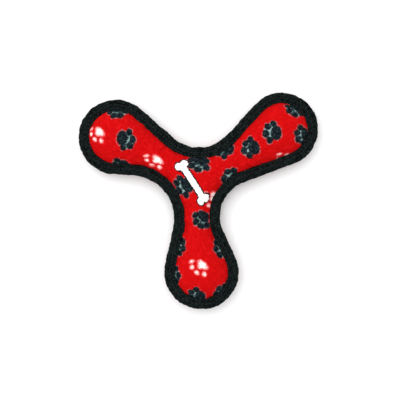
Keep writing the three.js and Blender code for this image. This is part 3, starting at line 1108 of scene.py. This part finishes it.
def printed_fleece(pattern):
    finish = Finish("printed_fleece")
    where = finish.cloth()
    nap = pile(finish, where)
    # painted shade: nought where the pile's bump is low and one on its lumps; it darkens the ink and the bone
    shade = finish.step(nap, 0.35, 0.6)
    noisy = finish.noise(where, 1.5, 3, 0.65, result="Color")
    drift = finish.vector("SUBTRACT", noisy, (0.5, 0.5, 0.5))
    bled = finish.vector("ADD", where, finish.vector("MULTIPLY", drift, (INK_DRIFT, INK_DRIFT, 0)))
    paw = nearest_paw(finish, bled, pattern)
    pale = finish.math("GREATER_THAN", finish.node("SeparateXYZ", {0: paw}).outputs[2], PALE_FLAG / 2)
    ground = red_ground(finish, where, nap)
    dark, light = dark_paw(finish, where, paw, ground, shade), pale_paw(finish, where, paw, ground)
    colour = with_bone(finish, bled, finish.mix(pale, dark, light), shade)
    return finish.done(colour, 0.95, nap, 0.22, Specular_IOR_Level=0.03)


def binding_fleece():
    finish = Finish("binding_fleece")
    where = finish.place()
    nap = pile(finish, where)
    # painted shade: the tape is darker where its pile's bump is low, which also mottles it
    colour = finish.mix(finish.step(nap, 0.38, 0.62), srgb(3, 6, 6), srgb(24, 31, 30))
    flecks = finish.step(finish.noise(where, 1.8, 4, 0.7), 0.54, 0.72, 0.0, 0.9)
    colour = finish.mix(flecks, colour, srgb(48, 60, 58))
    return finish.done(colour, 0.95, nap, 0.4, Specular_IOR_Level=0.02)


def woven(name, dark, light, pitch):
    """Plain weave: threads that cross over and under each other."""
    finish = Finish(name)
    where = finish.cloth()
    parts = finish.node("SeparateXYZ", {0: finish.scaled(where, math.pi / pitch)})
    across, along = (finish.math("SINE", part) for part in parts.outputs[:2])
    over = finish.math("MULTIPLY", across, along)
    ribs = finish.math("ADD", finish.math("ABSOLUTE", across), finish.math("ABSOLUTE", along))
    height = finish.total(ribs, 0.4, over, 0.3)
    slub = finish.noise(finish.vector("MULTIPLY", where, (0.15, 1.0, 1.0)), pitch * 2, 3)
    # painted shade and painted highlight: the threads are lighter where the weave stands up and darker where it dips
    colour = finish.mix(finish.step(height, -0.1, 0.9), dark, light)
    colour = finish.mix(finish.step(slub, 0.5, 0.8, 0.0, 0.5), colour, light)
    return finish.done(colour, 0.85, height, 0.12, Specular_IOR_Level=0.2)


def fibre():
    """Loose polyester fibre: long fine strands in soft clumps."""
    finish = Finish("fibre_filling")
    where = finish.place()
    clumps = finish.noise(where, 5.0, 3, 0.6, distortion=1.5)
    strands = finish.noise(where, 0.8, 5, 0.75, distortion=3.0)
    height = finish.total(clumps, 0.5, strands, 0.5)
    # painted shade: the fibre is darker where its clumps and strands are low
    colour = finish.mix(finish.step(height, 0.3, 0.65), srgb(214, 214, 210), srgb(250, 250, 247))
    return finish.done(colour, 0.8, strands, 0.4, Sheen_Weight=0.3, Specular_IOR_Level=0.2)


def thread():
    """Twisted polyester thread."""
    finish = Finish("sewing_thread")
    parts = finish.node("SeparateXYZ", {0: finish.cloth()}).outputs
    turn = finish.math("ADD", finish.math("MULTIPLY", parts[0], 1.8), parts[1])
    twist = finish.math("SINE", finish.math("MULTIPLY", turn, math.tau))
    # painted shade: the thread is darker in the grooves of its twist and lighter on its ridges
    colour = finish.mix(finish.step(twist, -0.8, 0.8), srgb(10, 13, 13), srgb(44, 50, 50))
    return finish.done(colour, 0.55, twist, 0.05, Specular_IOR_Level=0.25)


def moulded(name, dark, light, roughness, **constants):
    """Moulded plastic: slight clouding, fine scuffs and an orange-peel skin."""
    finish = Finish(name)
    where = finish.place()
    cloud = finish.noise(where, 6.0, 3, 0.5)
    scuff = finish.noise(finish.vector("MULTIPLY", where, (1.0, 6.0, 1.0)), 1.5, 5, 0.7)
    colour = finish.mix(finish.step(cloud, 0.3, 0.7), dark, light)
    rough = finish.step(scuff, 0.35, 0.75, roughness - 0.08, roughness + 0.16)
    return finish.done(colour, rough, finish.noise(where, 0.7, 2), 0.02, **constants)


# ---------------------------------------------------------------- assembly


def dress(piece, material, slot, node):
    """Gives a piece its material and its slot, and says which CAD node it stands for."""
    piece.data.materials.clear()
    piece.data.materials.append(material)
    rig.slot(piece, slot)
    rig.replaces(piece, node)
    return piece


columns = edge_columns(COVER_SPACING)
pattern = FlatPattern(columns, FLEECE_STRETCH)
canvas_pattern = FlatPattern(columns, CANVAS_STRETCH)
FLEECE_CLOTH = printed_fleece(pattern)
TAPE_CLOTH = binding_fleece()
CANVAS_CLOTH = woven("liner_canvas", srgb(176, 170, 154), srgb(226, 221, 206), 0.55)
POUCH_CLOTH = woven("pouch_cloth", srgb(186, 180, 168), srgb(236, 232, 222), 0.4)
FIBRE = fibre()
THREAD = thread()
BULB_PLASTIC = moulded("squeaker_bulb", srgb(222, 212, 186), srgb(238, 231, 212), 0.42, Subsurface_Weight=0.2)
PLUG_PLASTIC = moulded("squeaker_plug", srgb(232, 232, 226), srgb(246, 246, 242), 0.38)
REED_PLASTIC = moulded("squeaker_reed", srgb(140, 158, 166), srgb(176, 192, 198), 0.22)

COVER_THICKNESS = 0.9
LINER_DEPTH, LINER_THICKNESS = 1.25, 0.5
COVER_HEM, LINER_HEM = 1.0, 0.2  # each face's cloth turns down this near the seam plane, in the binding
COVER_LUMPS = [(0.22, 7.0), (0.16, 2.4), (0.07, 1.5)]  # height and size
STUFFING_LUMPS = [(0.3, 6.0), (0.16, 2.6)]
STUFFING_VOXEL = 1.7
STUFFING_SHRINK = 0.45  # the lumps of the stuffing stay inside its CAD solid
COVER_FILL, STUFFING_FILL = 0.85, 0.7
STITCH_LIFT = {"tape": 0.12, "pouch": 0.2}  # of a row's middle over the cloth under it


def inward_of(piece, rounds):
    return -relaxed(piece.data, normals_of(piece.data), rounds)


def cloth_body():
    """The outer face of the covers, and the outer face of the canvas behind them."""
    body = voxel_remesh(stuffed_body(columns), VOXEL)
    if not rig.quick():
        gathered(body)
    lining_points = places(body.data) + LINER_DEPTH * inward_of(body, 4)
    lining = added("lining", body.data.copy())
    modified(body, "SUBSURF", levels=1, render_levels=1)
    rested(roughened(body, COVER_LUMPS))
    for piece in (body, lining):
        set_vectors(piece.data, "cloth", pattern.on_cloth(places(piece.data)))
        set_vectors(piece.data, "inward", inward_of(piece, 5))
    set_vectors(body.data, "shading", normals_of(body.data))
    set_places(lining.data, lining_points)
    return body, lining


def face_layer(source, layer, thickness, hem, material, slot, node):
    """One layer of cloth: three arm pieces in front, and one piece behind."""
    front = part_of(source, "front", [((0, 0, SEAM + hem), (0, 0, 1))])
    back = part_of(source, f"back_{layer}", [((0, 0, SEAM - hem), (0, 0, -1))])
    arms = by_arm(front, f"front_{layer}", lambda part: shell(part, thickness))
    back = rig.ride(shell(back, thickness), ROOT)
    for part in arms:
        dress(part, material, slot, f"front_{node}")
    dress(back, material, slot, f"back_{node}")
    bpy.data.objects.remove(front)
    bpy.data.objects.remove(source)
    return arms, back


def stuffing_parts(side):
    """The loose filling behind one face, made from its CAD solid."""
    node = f"{side}_fibre_filling"
    source = added("filling", frame["nodes"][node].data.copy())
    stuffing = voxel_remesh(outward(source), STUFFING_VOXEL)
    shrunk = places(stuffing.data) - STUFFING_SHRINK * normals_of(stuffing.data)
    set_places(stuffing.data, shrunk)
    roughened(stuffing, STUFFING_LUMPS)
    if side == "front":
        parts = by_arm(stuffing, "front_stuffing", lambda part: part, fill=True)
        bpy.data.objects.remove(stuffing)
    else:
        stuffing.name = "back_stuffing"
        parts = [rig.ride(stuffing, ROOT)]
    for part in parts:
        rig.padded(dress(part, FIBRE, "fibre_filling", node), fill=STUFFING_FILL)


def sew_binding():
    """The tape over the edge, and its four rows of stitches."""
    fine_columns = edge_columns(TAPE_SPACING)
    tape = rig.ride(binding(fine_columns), ROOT)
    dress(tape, TAPE_CLOTH, "binding_fleece", "edge_binding")
    rows = []
    for side, up in (("front", 1), ("back", -1)):
        for row, inset in ROWS.items():
            line = tape_ring(fine_columns, inset, up * (float(tape_height(inset)) + STITCH_LIFT["tape"]))
            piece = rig.ride(stitches(f"{side}_{row}_stitches", line, up), ROOT)
            rows.append(dress(piece, THREAD, "sewing_thread", f"{side}_{row}_stitch_row"))
    covers = [f"front_cover_{arm}" for arm, *_ in ARMS] + ["back_cover"]
    edge = lengths(fine_columns["point"] - np.roll(fine_columns["point"], 1, 0)).sum()
    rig.sheet(tape, flat=(TAPE_WIDTH * MM, edge * MM), held="folded", rests_on=covers, with_pieces=rows)


def squeaker(index):
    """The bulb and plug of one arm. The reed is the CAD node itself, with its material."""
    arm, distance, angle, _ = ARMS[index]
    centre = np.array([*(distance * headings(math.radians(angle))), SEAM])
    piece = bulb(f"{arm}_bulb", centre)
    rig.squash(
        piece,
        f"{arm}_lobe_press",
        axis=(0, 0, 1),
        anchor=tuple((centre - (0, 0, BULB["half"])) * MM),
        keep=1 - TRAVEL / (2 * BULB["half"]),
    )
    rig.ride(piece, ROOT)
    dress(piece, BULB_PLASTIC, "squeaker_bulb", f"{arm}_squeaker_bulb")
    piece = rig.ride(plug(f"{arm}_plug_moulding", centre), f"{arm}_plug")
    dress(piece, PLUG_PLASTIC, "squeaker_plug", f"{arm}_squeaker_plug")
    reed = frame["nodes"][f"{arm}_squeaker_reed"]
    reed.data.materials.clear()
    reed.data.materials.append(REED_PLASTIC)
    return centre


def pouch(index, centre):
    """The two halves of the cloth pouch round a squeaker, and the stitches that join them."""
    arm = ARMS[index][0]
    front = gives(pouch_half(f"{arm}_pouch_top", centre, POUCH["front"], 1), index)
    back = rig.ride(pouch_half(f"{arm}_pouch_base", centre, POUCH["back"], -1), ROOT)
    dress(front, POUCH_CLOTH, "pouch_cloth", f"{arm}_pouch_front")
    dress(back, POUCH_CLOTH, "pouch_cloth", f"{arm}_pouch_back")
    spin = headings(np.linspace(0, math.tau, 96, endpoint=False))
    ring = centre + POUCH["seam"] * np.column_stack([spin, np.zeros(len(spin))])
    ring[:, 2] += GAP / 2 + POUCH["cloth"] + STITCH_LIFT["pouch"]
    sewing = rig.ride(stitches(f"{arm}_pouch_stitches", ring, 1), ROOT)
    dress(sewing, THREAD, "sewing_thread", f"{arm}_pouch_stitching")
    disc = {"flat": (POUCH_DISC * MM,) * 2, "area": math.pi / 4 * (POUCH_DISC * MM) ** 2}
    for half, on_it in ((front, [sewing]), (back, [])):
        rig.sheet(half, held="gathered", rests_on=[f"{arm}_bulb"], with_pieces=on_it, **disc)


body, lining = cloth_body()
arms, back = face_layer(
    body, "cover", COVER_THICKNESS, COVER_HEM, FLEECE_CLOTH, "printed_fleece", "face_panel"
)
for part in (*arms, back):
    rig.padded(part, fill=COVER_FILL)
arms, back = face_layer(
    lining, "lining", LINER_THICKNESS, LINER_HEM, CANVAS_CLOTH, "liner_canvas", "canvas_liner"
)
for index, (arm, _, angle, _) in enumerate(ARMS):
    outline = np.array([(0, 0), *canvas_pattern.front_edge[columns["arm"] == index]])
    size = cut_size(outline, math.radians(angle))
    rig.sheet(arms[index], held="stretched", rests_on=[f"front_stuffing_{arm}"], **size)
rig.sheet(back, held="stretched", rests_on=["back_stuffing"], **cut_size(canvas_pattern.back_edge))
for side in ("front", "back"):
    stuffing_parts(side)
sew_binding()
for index in range(len(ARMS)):
    pouch(index, squeaker(index))

# ---------------------------------------------------------------- floor, light and camera

LOOK_AT = Vector((2.73, -14.68, SEAM)) * MM
CAMERA_HEIGHT = 0.803
FLOOR_HALF = 1.6
FLOOR_GREYS = (0.93, 0.93, 0.93, 1), (0.96, 0.96, 0.96, 1)


def floor_finish():
    finish = Finish("floor")
    grain = finish.noise(finish.place(), 40.0, 3)
    finish.done(finish.mix(grain, *FLOOR_GREYS), 1.0, Specular_IOR_Level=0.0)
    clear = finish.node("BsdfTransparent")
    hidden = finish.node("NewGeometry").outputs["Backfacing"]
    either = finish.node("MixShader", {0: hidden, 1: finish.shader.outputs[0], 2: clear.outputs[0]})
    finish.put(finish.tree.nodes["Material Output"].inputs["Surface"], either.outputs[0])
    return finish.material


corners = [(x * FLOOR_HALF / MM, y * FLOOR_HALF / MM, 0) for x, y in ((-1, -1), (1, -1), (1, 1), (-1, 1))]
floor = make_piece("floor", corners, [(0, 1, 2, 3)])
floor.data.materials.append(floor_finish())
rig.stage(floor)


def soft_light(name, place, size, power):
    light = added(name, bpy.data.lights.new(name, "AREA"))
    light.data.shape, light.data.size, light.data.energy = "DISK", size, power
    light.location = place
    light.rotation_euler = Vector(place).to_track_quat("Z", "Y").to_euler()


soft_light("key", (-0.4, 0.5, 1.45), 2.0, 17)

scene = bpy.context.scene
scene.world = scene.world or bpy.data.worlds.new("world")
scene.world.use_nodes = True
backdrop = scene.world.node_tree.nodes["Background"]
backdrop.inputs["Color"].default_value = (1, 1, 1, 1)
backdrop.inputs["Strength"].default_value = 0.95
scene.view_settings.view_transform = "Standard"

camera = added("camera", bpy.data.cameras.new("camera"))
camera.data.lens = 85
camera.data.sensor_width = 36
camera.location = LOOK_AT + Vector((0, 0, CAMERA_HEIGHT))
scene.camera = camera

with open("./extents.json", "w") as sizes:
    json.dump({"cad": CAD_BOX, "shown": [list(corner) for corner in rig.bounds()]}, sizes)
